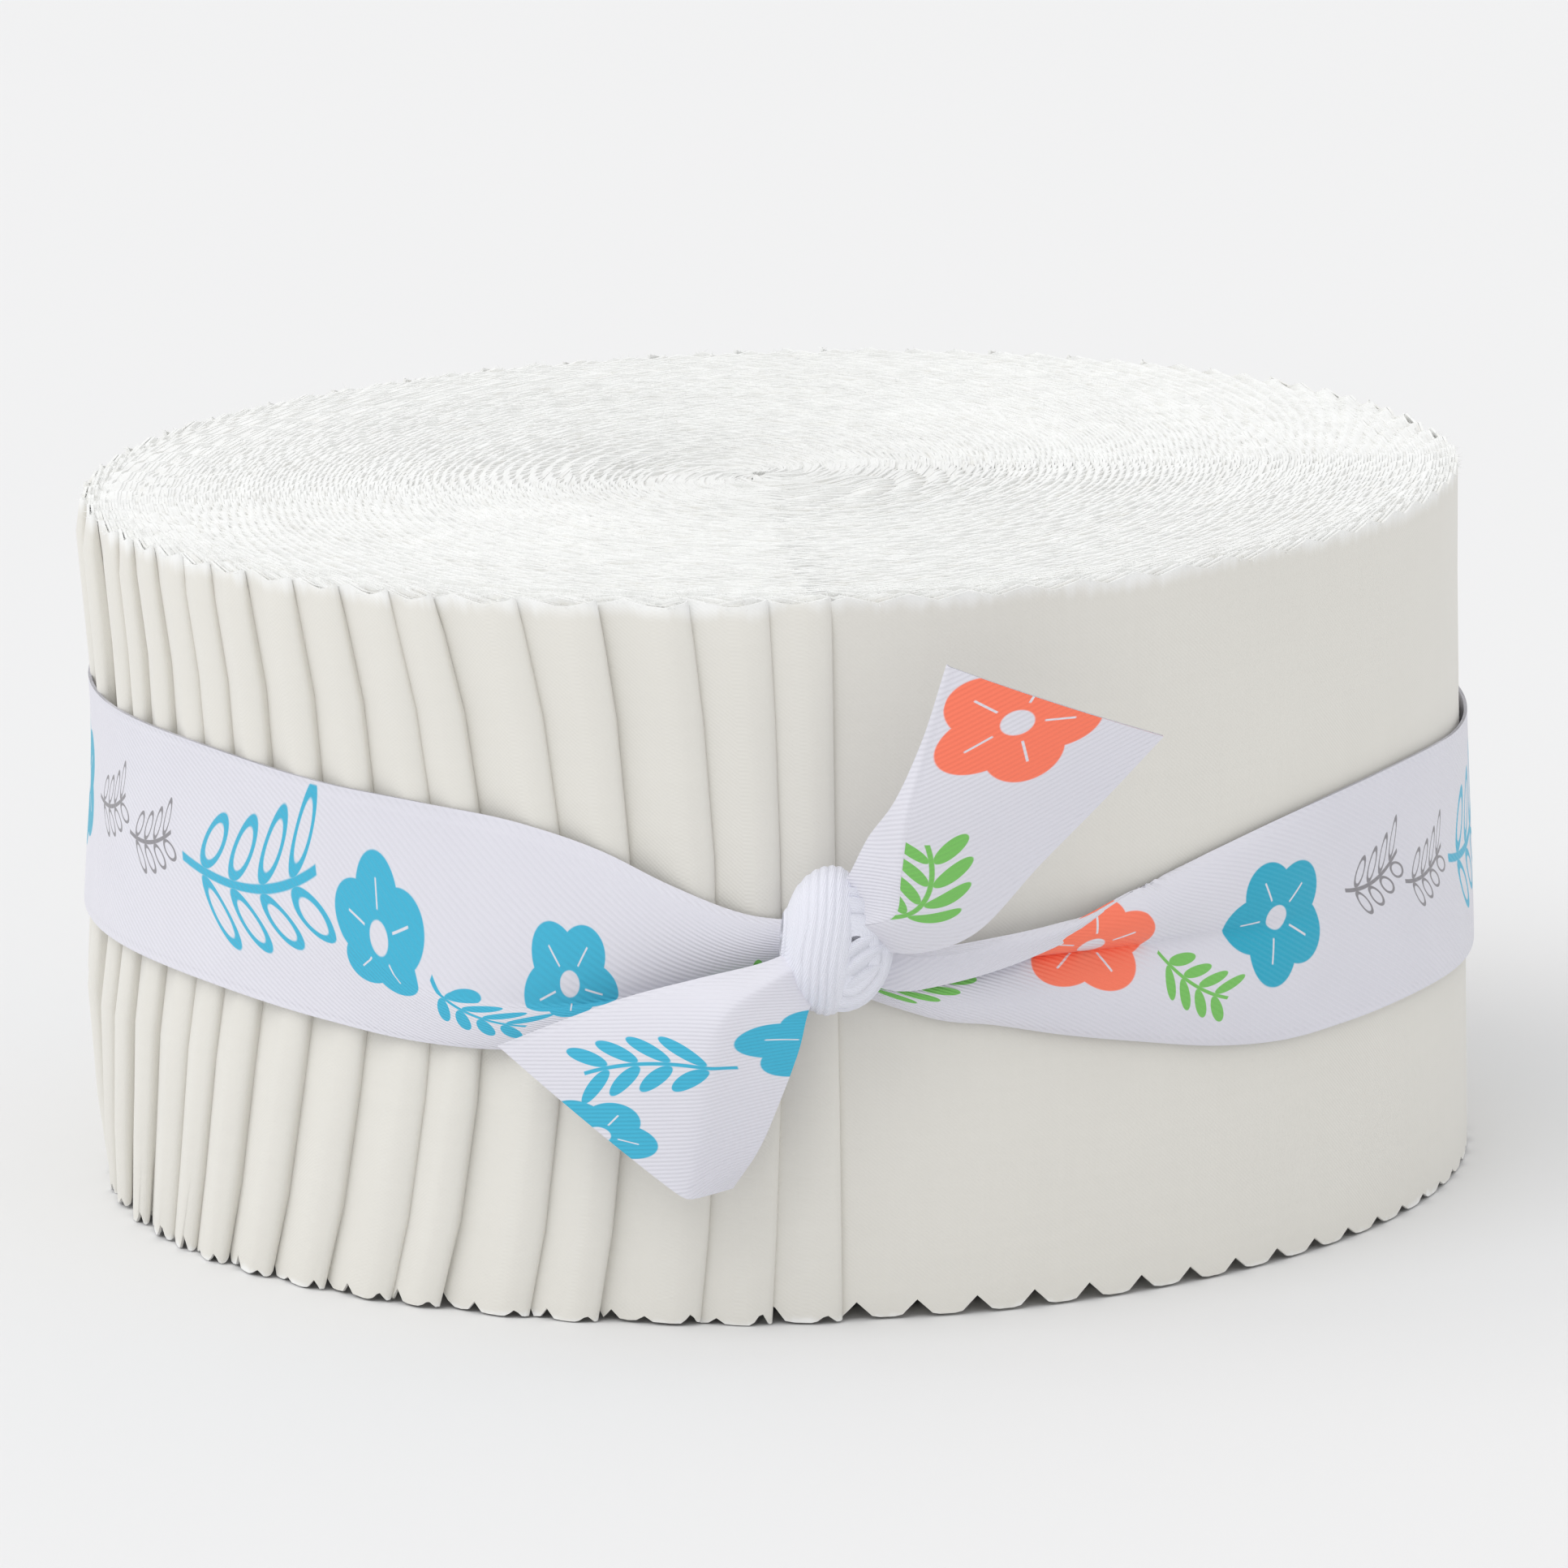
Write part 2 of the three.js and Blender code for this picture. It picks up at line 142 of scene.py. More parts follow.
def ease(x, low, high):
    """0 below low, 1 above high, and a smooth S between them: 3 t squared less 2 t cubed."""
    share = np.clip((x - low) / (high - low), 0, 1)
    return share * share * (3 - 2 * share)


def smooth_table(x, places, values):
    """A value read from a table along one smooth curve: cubic pieces through the points, each with
    the slope of the line between its two neighbours."""
    places = np.asarray(places, float)
    values = np.asarray(values, float)
    slopes = np.gradient(values, places)
    x = np.clip(x, places[0], places[-1])
    i = np.clip(np.searchsorted(places, x) - 1, 0, len(places) - 2)
    span = places[i + 1] - places[i]
    t = (x - places[i]) / span
    start = (1 + 2 * t) * (1 - t) ** 2 * values[i] + t * (1 - t) ** 2 * span * slopes[i]
    end = t * t * (3 - 2 * t) * values[i + 1] - t * t * (1 - t) * span * slopes[i + 1]
    return start + end


# The wall of the roll

def fold_angle(k, z):
    """Angle of strip k's fold at a height: a straight line through its two marks, pushed towards
    the front by the ribbon, most at the ribbon and by the square of the distance from it."""
    shown = len(FOLD_TOPS)
    hidden_share = np.clip((k - shown + 1) / (STRIPS - shown), 0, 1)
    mark = np.minimum(k, shown - 1)
    top = np.asarray(FOLD_TOPS)[mark] * (1 - hidden_share) + LAST_FOLD * hidden_share
    foot = np.asarray(FOLD_FEET)[mark] * (1 - hidden_share) + LAST_FOLD * hidden_share
    line = foot + (top - foot) * (z - FOLD_FOOT_HEIGHT) / (FOLD_TOP_HEIGHT - FOLD_FOOT_HEIGHT)
    pinch = FOLD_PINCH * np.minimum(1, k / FOLDS_TO_FULL_PINCH) * (1 - hidden_share)
    return line + pinch * (1 - ((z - PINCH_HEIGHT) / PINCH_REACH) ** 2)


# The strips from the last fold round to the front one, the angles of their folds halfway up, and
# how far a perfect spiral has grown at each, with its crests there
FOLD_ORDER = np.arange(STRIPS - 1, -1, -1)
MIDDLE_FOLDS = fold_angle(FOLD_ORDER, PINCH_HEIGHT)
FRONT_FOLD = MIDDLE_FOLDS[-1]
SPIRAL_GAIN = BUNDLE * (MIDDLE_FOLDS - FRONT_FOLD) / 360
SPIRAL_CRESTS = FRONT_SPIRAL_RADIUS + SPIRAL_GAIN + FOLDED_STRIP * FOLD_ORDER


def wrap_angle(angle):
    """The same direction as an angle from the last fold up to one full turn past it."""
    return np.mod(angle - LAST_FOLD, 360) + LAST_FOLD


def crest_radius(angle):
    """Radius of the wall at the crests of its lips: the mean radius with its leaning and oval parts,
    which follow the sine and cosine of the angle and of twice the angle."""
    turn = np.radians(angle)
    leaning = WALL["front"] * np.cos(turn) + WALL["right"] * np.sin(turn)
    oval = WALL["oval"] * np.cos(2 * turn) + WALL["oval_aslant"] * np.sin(2 * turn)
    return WALL["radius"] + leaning + oval


def spiral_radius(angle):
    """Radius that the crests of a perfect spiral's wall have: it gains one bundle thickness a turn
    towards +X, and loses one folded strip at each fold. The plain part is nearer the crests."""
    wrapped = wrap_angle(angle)
    stepped = np.interp(wrapped, MIDDLE_FOLDS, SPIRAL_CRESTS)
    plain = FRONT_SPIRAL_RADIUS - FOLDED_STRIP + BUNDLE * (wrapped - FRONT_FOLD) / 360
    rise = ease(wrapped, FRONT_FOLD, FRONT_FOLD + PLAIN_EASE)
    rise = rise * (1 - ease(wrapped, LAST_FOLD + 360 - PLAIN_EASE, LAST_FOLD + 360))
    return np.where(wrapped > FRONT_FOLD, plain - PLAIN_RISE * rise, stepped)


def layers_over(angle, radius):
    """How many layers lie over one, from its angle and its radius in the spiral: its depth under
    the outer layer of the strip that shows there, in half strips. The middle of that layer lies a
    quarter of a folded strip under its face."""
    wrapped = wrap_angle(angle)
    shown = np.append(FOLD_ORDER, -1)[np.searchsorted(MIDDLE_FOLDS, wrapped)]
    innermost = FRONT_SPIRAL_RADIUS + BUNDLE * (wrapped - FRONT_FOLD) / 360 - LIP_HEIGHT
    return (innermost + FOLDED_STRIP * (shown - 0.25) - radius) / (FOLDED_STRIP / 2)


def waist_depth(angle, z):
    """How far the wall is drawn in at a height: most on the left."""
    left_share = 0.5 - 0.5 * np.sin(np.radians(angle))
    depth = 0
    for waist in (WAIST, FOOT_WAIST):
        most = waist["right"] + (waist["left"] - waist["right"]) * left_share
        depth = depth + most * hump(z, waist["height"], waist["reach"])
    return depth


def lean_at(angle, z):
    """How far a vertical line on the wall leans at a height, carried along by the folds beside it."""
    leans = fold_angle(FOLD_ORDER, z) - MIDDLE_FOLDS
    places = np.append(MIDDLE_FOLDS, LAST_FOLD + 360)
    return np.interp(wrap_angle(angle), places, np.append(leans, leans[0]))


def wall_point(angle, radius, z):
    """Points of the wall from their angle, radius and height."""
    turn = np.radians(angle)
    x = CENTRE[0] + radius * np.sin(turn)
    y = CENTRE[1] - radius * np.cos(turn)
    return np.stack(np.broadcast_arrays(x, y, z), -1)


# Meshes

# Edges with more than this between their faces are sharp
SHARP_ANGLE = math.radians(50)


def make_piece(name, points, faces, uv, materials):
    """A mesh object from points in millimetres, faces and the UVs of each face's corners."""
    mesh = bpy.data.meshes.new(name)
    mesh.from_pydata(points * MM, [], faces)
    layer = mesh.uv_layers.new(name="cloth")
    layer.data.foreach_set("uv", uv.astype(np.float32).ravel())
    mesh.polygons.foreach_set("use_smooth", np.ones(len(faces), bool))
    mesh.set_sharp_from_angle(angle=SHARP_ANGLE)
    mesh.update()
    piece = bpy.data.objects.new(name, mesh)
    bpy.context.scene.collection.objects.link(piece)
    for material in materials:
        mesh.materials.append(material)
    return piece


def sheet_mesh(centre, normal, thickness, uv, back_shift=0.0):
    """A closed sheet on a grid of points: the grid is set off half the thickness both ways along
    its normals, and each row across becomes a ring that is joined to the next along. The back's
    UVs may be shifted across, off the front's pattern."""
    along, across = centre.shape[:2]
    offset = normal * thickness / 2
    ring = np.concatenate([centre + offset, (centre - offset)[:, ::-1]], 1)
    ring_uv = np.concatenate([uv, uv[:, ::-1] + (0, back_shift)], 1)
    size = 2 * across
    here = np.arange(along - 1)[:, None] * size + np.arange(size)[None, :]
    beside = np.arange(along - 1)[:, None] * size + (np.arange(size)[None, :] + 1) % size
    walls = np.stack([here, here + size, beside + size, beside], -1).reshape(-1, 4)
    j = np.arange(across - 1)
    start = np.stack([j, j + 1, size - 2 - j, size - 1 - j], -1)
    end = start[:, ::-1] + (along - 1) * size
    faces = np.concatenate([walls, start, end])
    return ring.reshape(-1, 3), faces, ring_uv.reshape(-1, 2)


def join_meshes(parts):
    """Several meshes as one, each with its faces counted on from the last."""
    starts = np.cumsum([0] + [len(points) for points, _, _ in parts[:-1]])
    points = np.concatenate([part[0] for part in parts])
    faces = np.concatenate([part[1] + start for part, start in zip(parts, starts)])
    uv = np.concatenate([part[2] for part in parts])
    return points, faces, uv[faces.ravel()]


def grid_normals(points):
    """Unit normals of a grid of points, along the cross product of its two directions."""
    normal = np.cross(np.gradient(points, axis=0), np.gradient(points, axis=1))
    return normal / np.linalg.norm(normal, axis=-1, keepdims=True)


# The forty strips

# The rows of a strip: their heights, and the share of a lip's rise that the ribbon leaves there
ROWS = np.array(
    [(0, 0.85), (8, 1), (19, 0.95), (30, 0.7), (41, 0.7), (53, 0.95), (60, 0.75), (STRIP_WIDTH, 0.15)],
    dtype=[("height", float), ("lip", float)],
)
# How far the lower edges of the layers behind the wall are drawn up off the floor, and of deep
# ones, and at which depths in layers these and the finer teeth of the top come about
FOOT_RAISE = 1.5
DEEP_FOOT = 0.3
RAISED_FROM = (0.3, 1.6)
LOWERED_FROM = (6, 18)
FINE_TEETH_FROM = (2, 9)
# How far apart the strips lie in their UVs: more than a strip's length
STRIP_UV_STEP = 1300
# How much of a strip shows from its fold on, and of the outermost one, the plain part of the wall
EXPOSED = 11.0
PLAIN_LENGTH = 115.0
# Samples from a tooth's tip to its notch. Hidden cloth has only tips and notches, with one sample
# more between them within the middle radius, and with them all within the fine one.
SAMPLES_TO_NOTCH = 4
SAMPLE = TOOTH_PITCH / (2 * SAMPLES_TO_NOTCH)
FINE_RADIUS = 3.5
MIDDLE_RADIUS = 12.0


def layer_samples(k, offset, phase):
    """Where one layer of strip k is sampled from its fold to its end at the core: the distance
    along the cloth and the turn there. A turn's length is the integral of the spiral's radius, a
    quadratic in the turn, so the turn comes from its root. Samples fall on tooth tips and notches,
    and lie closer where the radius is small. One more, the last, is at the core."""
    fold_turn = FRONT_TURN + (fold_angle(k, PINCH_HEIGHT) - FRONT_FOLD) / 360
    first_turn = (CORE_RADIUS - offset) / BUNDLE
    growth = np.pi * BUNDLE * (fold_turn**2 - first_turn**2)
    reach = growth + 2 * np.pi * offset * (fold_turn - first_turn)
    steps = np.arange(int(reach / SAMPLE - phase))
    distance = np.append((steps + phase) * SAMPLE, reach)
    rest = BUNDLE * fold_turn**2 + 2 * offset * fold_turn - distance / np.pi
    turn = (np.sqrt(np.maximum(offset**2 + BUNDLE * rest, 0)) - offset) / BUNDLE
    radius = BUNDLE * turn + offset
    steps = np.append(steps, 0)
    every = np.where(radius > MIDDLE_RADIUS, SAMPLES_TO_NOTCH, np.where(radius > FINE_RADIUS, 2, 1))
    shown = distance < (PLAIN_LENGTH if k == STRIPS - 1 else EXPOSED)
    keep = ((steps % every == 0) | shown) & (distance > FOLD_ROUND)
    return distance[keep], turn[keep]


def strip_path(k, rng):
    """The whole path of strip k in plan: out from its raw end at the core, round its fold and back.
    Gives each sample's distance from the fold along the cloth, its mid-height angle, its radius in
    the spiral and how far its free lip rises. The bend is two quarters of ellipses, a long one
    above and a short one below, and the lip rises to it with the square and the cube of how near
    it is."""
    outer_offset = -(STRIPS - 1 - k) * FOLDED_STRIP - LIP_HEIGHT - FOLDED_STRIP / 4
    inner_offset = outer_offset - FOLDED_STRIP / 2
    phase = rng.random()
    outer_distance, outer_turn = layer_samples(k, outer_offset, phase)
    inner_distance, inner_turn = layer_samples(k, inner_offset, phase)
    lip = LIP_RISE * rng.uniform(*LIP_UNEVENNESS)
    near = np.clip((LIP_LENGTH - outer_distance) / (LIP_LENGTH - FOLD_ROUND), 0, 1)
    outer_puff = lip * near * near * (2 - near)
    outer_radius = BUNDLE * outer_turn + outer_offset
    inner_radius = BUNDLE * inner_turn + inner_offset

    bend = np.linspace(np.pi / 2, 3 * np.pi / 2, FOLD_POINTS)
    middle_fold = fold_angle(k, PINCH_HEIGHT)
    fold_radius = BUNDLE * (FRONT_TURN + (middle_fold - FRONT_FOLD) / 360)
    bend_offset = (outer_offset + inner_offset + (outer_offset - inner_offset) * np.sin(bend)) / 2
    bend_radius = fold_radius + bend_offset
    bend_puff = lip * (1 + np.sin(bend)) / 2
    bend_reach = np.where(bend < np.pi, FOLD_ROUND, FOLD_TUCK) * (1 + np.cos(bend))
    bend_angle = middle_fold - np.degrees(bend_reach / fold_radius)
    bend_distance = np.linspace(FOLD_ROUND, -FOLD_ROUND, len(bend))

    def angle_of(turn):
        return FRONT_FOLD + 360 * (turn - FRONT_TURN)

    distance = np.concatenate([outer_distance[::-1], bend_distance, -inner_distance])
    angle = np.concatenate([angle_of(outer_turn[::-1]), bend_angle, angle_of(inner_turn)])
    radius = np.concatenate([outer_radius[::-1], bend_radius, inner_radius])
    puff = np.concatenate([outer_puff[::-1], bend_puff, np.zeros(len(inner_radius))])
    return distance, angle, radius, puff, phase


def pinked(distance, phase, tooth, tip_share):
    """Depth of the pinked edge below its tooth tips: a triangle wave along the cloth, cut off flat
    at the tips. Both layers are cut alike, so it follows the distance from the fold either way."""
    share = np.mod(np.abs(distance) / TOOTH_PITCH - phase / (2 * SAMPLES_TO_NOTCH), 1)
    wave = 1 - np.abs(2 * share - 1)
    return tooth * np.maximum(0, wave - tip_share) / (1 - tip_share)


def slow_wave(edge, distance, rng):
    """A slow wave in an edge's height: a sine of the distance along the cloth from a random start."""
    return edge["wave"] * np.sin(distance / edge["length"] + rng.uniform(*ANYWHERE))


def foot_teeth(k, distance, angle, phase, rng):
    """Depth of the teeth at a strip's foot. They fade round the plain wall, by a smooth S. The
    pleats' are finer, and differ from pleat to pleat at random and along one by a sine."""
    length = rng.uniform(*PLEAT_TEETH)
    uneven = rng.uniform(*ANYWHERE)
    if k == STRIPS - 1:
        wall_teeth = FOOT_TOOTH * (1 - (1 - FADED_TEETH) * ease(wrap_angle(angle), *TEETH_FADE))
        return pinked(distance, phase + TEETH_SHIFT, wall_teeth, FOOT_TIP_SHARE)
    variety = TOOTH_VARIETY * np.sin(TOOTH_VARIETY_PACE * distance + uneven)
    pleat_teeth = FOOT_TOOTH * length * (1 - TOOTH_VARIETY + variety)
    closer = PLEAT_TEETH_CLOSER
    return pinked(distance * closer, phase * closer, pleat_teeth, FOOT_TIP_SHARE)


def strip_mesh(k, rng):
    """One strip as a closed folded sheet, pinked along both edges, the line of its upper edge and
    its length. Each of its points lies a share of the way from the core to the wall, the share of
    its radius in the perfect spiral. Inner layers follow the wall's lean and waist less, the deeper
    they lie, and their lower edges are drawn up off the floor."""
    distance, angle, radius, puff, phase = strip_path(k, rng)
    wall_share = radius / spiral_radius(angle)
    rows = []
    for row in ROWS:
        height = row["height"]
        share = (radius + row["lip"] * puff) / spiral_radius(angle)
        lean = lean_at(angle, height) * ease(wall_share, *LEAN_SHARES)
        wall_radius = crest_radius(angle) - waist_depth(angle, height) * wall_share
        wall = wall_point(angle + lean, wall_radius, np.full(len(angle), height))
        core = np.array([*CORE, height])
        rows.append(core + share[:, None] * (wall - core))
    centre = np.stack(rows, 1)
    over = layers_over(angle, radius)
    raised = FOOT_RAISE * ease(over, *RAISED_FROM) - (FOOT_RAISE - DEEP_FOOT) * ease(over, *LOWERED_FROM)
    foot = FOOT_EDGE["gap"] + slow_wave(FOOT_EDGE, distance, rng) + raised
    top = STRIP_WIDTH - TOP_EDGE["gap"] + slow_wave(TOP_EDGE, distance, rng) + rng.uniform(*TOP_UNEVENNESS)
    centre[:, 0, 2] = foot + foot_teeth(k, distance, angle, phase, rng)
    top_tooth = RIM_TOOTH - (RIM_TOOTH - TOP_TOOTH) * ease(over, *FINE_TEETH_FROM)
    centre[:, -1, 2] = top - pinked(distance, phase, top_tooth, 0.0)
    uv = np.stack([np.broadcast_to(distance[:, None], centre.shape[:2]), centre[..., 2]], -1)
    uv[..., 0] += STRIP_UV_STEP * k
    path = np.gradient(centre, axis=0)
    normal = np.stack([-path[..., 1], path[..., 0], np.zeros(path.shape[:2])], -1)
    normal /= np.linalg.norm(normal, axis=-1, keepdims=True)
    return sheet_mesh(centre, -normal, CLOTH, uv * MM), centre[:, -1], distance.max() - distance.min()


GROUPS = 5
SEED = 40


def build_strips(material):
    """The strips in groups of neighbours, each group one piece of joined sheets, and the frayed
    threads on all their upper edges."""
    rng = np.random.default_rng(SEED)
    groups = np.array_split(np.arange(STRIPS), GROUPS)
    edges = []
    for number, members in enumerate(groups, 1):
        meshes, tops, lengths = zip(*[strip_mesh(int(k), rng) for k in members])
        piece = make_piece(f"strips_{number}", *join_meshes(meshes), [material])
        cotton_piece(piece)
        edges.extend(tops)
    cotton_piece(make_piece("frayed_threads", *join_meshes([frayed_threads(edges, rng)]), [material]))


def cotton_piece(piece):
    """Puts a piece of the roll in the place of its solid."""
    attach(piece, "root")
    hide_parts("strip_roll")


# The frayed threads: how many, their lengths, the radius of their roots and how deep those sit, how
# their random directions are flattened and tipped upwards, and a direction that they all cross
THREADS = 33000
THREAD_LENGTHS = (0.3, 0.9)
THREAD_WIDTH = 0.045
THREAD_ROOT = (0, 0, -0.15)
THREAD_FLATTENING = (1, 1, 0.5)
THREAD_TIPPING = (0, 0, 0.5)
THREAD_CROSSING = (0.3, 0.5, 0.81)
# How much more frayed the edges near the wall are, and from which radius on
RIM_FRAY = 10.0
RIM_START = 60.5


def frayed_threads(edges, rng):
    """Threads that stand off the cut edges, each a slim closed spike of four faces: three corners
    round its root and a tip. Roots are spread along the edges, thickest near the wall, and the
    directions are random, flattened and then tipped upwards."""
    start = np.concatenate([edge[:-1] for edge in edges])
    step = np.concatenate([np.diff(edge, axis=0) for edge in edges])
    rim = np.linalg.norm(start[:, :2] - CENTRE, axis=1) > RIM_START
    weight = np.linalg.norm(step, axis=1) * np.where(rim, RIM_FRAY, 1)
    place = rng.choice(len(start), THREADS, p=weight / weight.sum())
    root = start[place] + rng.random((THREADS, 1)) * step[place] + THREAD_ROOT
    way = rng.normal(size=(THREADS, 3)) * THREAD_FLATTENING + THREAD_TIPPING
    way /= np.linalg.norm(way, axis=1, keepdims=True)
    side = np.cross(way, THREAD_CROSSING)
    side /= np.linalg.norm(side, axis=1, keepdims=True)
    other = np.cross(way, side)
    turns = np.radians([0, 120, 240])
    corners = [root + THREAD_WIDTH * (np.cos(turn) * side + np.sin(turn) * other) for turn in turns]
    tip = root + way * rng.uniform(*THREAD_LENGTHS, (THREADS, 1))
    points = np.stack([*corners, tip], 1).reshape(-1, 3)
    faces = np.array([(0, 2, 1), (0, 1, 3), (1, 2, 3), (2, 0, 3)])
    faces = (np.arange(THREADS)[:, None, None] * 4 + faces).reshape(-1, 3)
    uv = np.stack([points[:, 0], np.full(len(points), STRIP_WIDTH)], 1)
    return points, faces, uv * MM


# The ribbon's band

# The band at some angles: the heights of its foot, its crease, its top and its selvage, which hangs
# below the top where the cloth is turned down, and how far its ridges stand out
BAND_SECTIONS = np.array(
    [
        (3.5, 29.8, 31.6, 33.4, 31.2, 0.6),
        (7.8, 27.8, 31.0, 32.9, 29.6, 1.2),
        (11, 26.5, 31.2, 33.0, 30.0, 1.5),
        (15, 25.7, 31.3, 33.4, 30.9, 1.6),
        (20, 24.3, 31.4, 34.0, 32.6, 1.6),
        (27, 22.6, 31.2, 35.8, 35.5, 1.5),
        (34, 21.0, 30.9, 37.8, 37.8, 1.2),
        (41, 20.1, 30.4, 39.4, 39.4, 0.6),
        (48, 20.0, 30.3, 40.4, 40.4, 0),
        (58, 20.0, 30.5, 41.0, 41.0, 0),
        (77, 19.4, 30.0, 40.4, 40.4, 0),
        (180, 23.0, 33.5, 44.0, 44.0, 0),
        (283, 26.2, 36.6, 47.0, 47.0, 0),
        (310, 26.0, 36.0, 46.8, 46.8, 0),
        (322, 25.0, 33.0, 45.7, 45.7, 0),
        (331, 24.2, 29.0, 45.0, 45.0, 0.2),
        (340, 24.4, 28.0, 43.7, 43.7, 0.6),
        (346, 25.6, 28.8, 41.6, 41.6, 0.9),
        (351, 27.2, 29.9, 38.8, 38.8, 1.1),
        (357, 29.2, 31.4, 36.1, 36.1, 1.2),
        (362.5, 31.6, 33.2, 35.4, 35.4, 0.8),
    ],
    dtype=[(name, float) for name in ("angle", "foot", "crease", "top", "selvage", "ridge")],
)
BAND_STAND_OFF = 0.45
BAND_STEPS = 440
BAND_ACROSS = 46
# The crease's and the turned top's shares of the way across
CREASE_SHARE = 0.5
TURN_SHARE = 0.8
# A ridge is this power of a sine, the upper one this much higher, and lower under a full flap
RIDGE_POWER = 0.6
UPPER_RIDGE = 1.1
RIDGE_UNDER_FLAP = 0.5
# How far the flap stands off, the width of a full one, its width where it parts from the top, and
# how far it stands off for its width. It comes clear within the first of this many parts of it.
FLAP_STAND_OFF = 0.9
FULL_FLAP = 1.2
FLAP_START = 0.3
FLAP_RISE = 0.6
FLAP_PARTS = 3
# Keeps the division by the flap's share of the width sound where there is no flap
TINY = 1e-6


def band_surface():
    """The band as a grid along and across, with two ridges and a sharp crease between them: each
    ridge is a root of a sine across its height. On the right the cloth beyond the top is turned
    down over the front, round a half circle, and hangs clear of the ridge behind it."""
    angle = np.linspace(BAND_SECTIONS["angle"][0], BAND_SECTIONS["angle"][-1], BAND_STEPS)[:, None]
    across = np.linspace(0, 1, BAND_ACROSS)[None, :]
    foot, crease, top, selvage, ridge = (
        smooth_table(angle, BAND_SECTIONS["angle"], BAND_SECTIONS[name])
        for name in ("foot", "crease", "top", "selvage", "ridge")
    )
    turned = ease(top - selvage, 0, FULL_FLAP)
    turn_share = 1 - (1 - TURN_SHARE) * ease(top - selvage, 0, FLAP_START)
    low = np.clip(across / CREASE_SHARE, 0, 1)
    high = np.clip((across - CREASE_SHARE) / (turn_share - CREASE_SHARE), 0, 1)
    flap = np.clip((across - turn_share) / np.maximum(1 - turn_share, TINY), 0, 1)
    lower_ridge = np.sin(np.pi * low) ** RIDGE_POWER
    upper_ridge = UPPER_RIDGE * np.sin(np.pi * high) ** RIDGE_POWER
    ridges = ridge * (lower_ridge + upper_ridge) * (1 - RIDGE_UNDER_FLAP * turned * high)
    end_out = ridge * np.sqrt(high) * turned
    stand_off = np.minimum(FLAP_STAND_OFF, FLAP_RISE * (top - selvage))
    flap_out = stand_off * np.sin(np.pi / 2 * np.minimum(1, FLAP_PARTS * flap))
    out = ridges + end_out * (across > CREASE_SHARE) + flap_out
    z = foot + (crease - foot) * low + (top - crease) * high + (selvage - top) * flap
    radius = crest_radius(angle) - waist_depth(angle, z) + BAND_STAND_OFF + out
    return wall_point(angle, radius, z)


def along_and_across(points, width):
    """UVs of a ribbon's grid in millimetres: the distance along its middle, and across its width."""
    middle = points[:, points.shape[1] // 2]
    steps = np.linalg.norm(np.diff(middle, axis=0), axis=1)
    along = np.concatenate([[0], np.cumsum(steps)])
    across = np.linspace(0, width, points.shape[1])
    return np.stack(np.broadcast_arrays(along[:, None], across[None, :]), -1)


# The ribbon's tails

# Each tail from the knot to its end, as points on its first selvage, its crease and its second one
TAIL_FIELDS = [(name, float, 3) for name in ("first", "crease", "second")]
UPPER_TAIL = np.array(
    [
        ((7.4, -68.4, 34.2), (6.4, -70.4, 36.4), (4.2, -68.0, 38.2)),
        ((11.9, -69.4, 33.9), (9.9, -71.6, 37.6), (6.0, -69.0, 40.5)),
        ((16.8, -70.2, 35.8), (10.4, -73.4, 41.6), (7.9, -70.4, 44.2)),
        ((22.2, -71.0, 41.6), (11.0, -74.8, 46.8), (10.2, -73.4, 47.9)),
        ((27.6, -71.4, 47.0), (12.7, -75.2, 52.6), (12.4, -75.0, 53.0)),
        ((32.8, -71.6, 52.4), (14.9, -75.4, 59.6), (14.7, -75.3, 59.8)),
    ],
    dtype=TAIL_FIELDS,
)
LOWER_TAIL = np.array(
    [
        ((1.6, -68.4, 34.2), (2.0, -69.6, 33.2), (4.2, -68.8, 31.8)),
        ((-1.6, -68.6, 33.0), (-1.0, -71.0, 31.8), (2.4, -69.8, 29.4)),
        ((-7.0, -68.4, 31.8), (-4.6, -72.2, 29.4), (1.4, -70.6, 26.0)),
        ((-13.0, -67.4, 30.2), (-6.3, -72.2, 25.0), (-0.2, -70.2, 21.8)),
        ((-18.6, -65.8, 28.0), (-7.4, -71.4, 19.4), (-2.2, -69.2, 17.2)),
        ((-24.2, -63.8, 25.5), (-8.5, -70.4, 13.0), (-4.6, -68.0, 13.5)),
    ],
    dtype=TAIL_FIELDS,
)
TAIL_STEPS = 84
TAIL_ACROSS = 46
# How near the crease the faces' points start and how round it is, as shares of a face's width, and
# how far the first face is bowed
CREASE_GAP = 0.001
CREASE_ROUND = 0.06
TAIL_BOW = 0.9


def tail_surface(sections):
    """A tail as a grid: smooth along its three lines, and across it two faces that meet at the
    crease, rounded there by a square root in place of a sharp corner. The first face is bowed
    forward a little, by a sine across it."""
    places = np.linspace(0, 1, len(sections))
    along = np.linspace(0, 1, TAIL_STEPS)
    half = np.linspace(CREASE_GAP, 1, TAIL_ACROSS // 2)
    side = np.concatenate([-half[::-1], half])[None, :, None]

    def line(name):
        axes = [smooth_table(along, places, sections[name][:, axis]) for axis in range(3)]
        return np.stack(axes, -1)[:, None, :]

    soft = np.sqrt(side * side + CREASE_ROUND**2)
    longest = (1 + np.sqrt(1 + CREASE_ROUND**2)) / 2
    first_share = (soft - side) / 2 / longest
    second_share = (soft + side) / 2 / longest
    crease = line("crease")
    bow = TAIL_BOW * np.sin(np.pi * np.clip(-side, 0, 1)) * np.sin(np.pi / 2 * along)[:, None, None]
    faces = (line("first") - crease) * first_share + (line("second") - crease) * second_share
    return crease + faces + bow * np.array([0, -1, 0])


# The knot

KNOT = {"x": 4.7, "z": 34.6}
KNOT_HALF_SIZE = (4.3, 3.9, 5.4)
KNOT_SEAT = 0.35
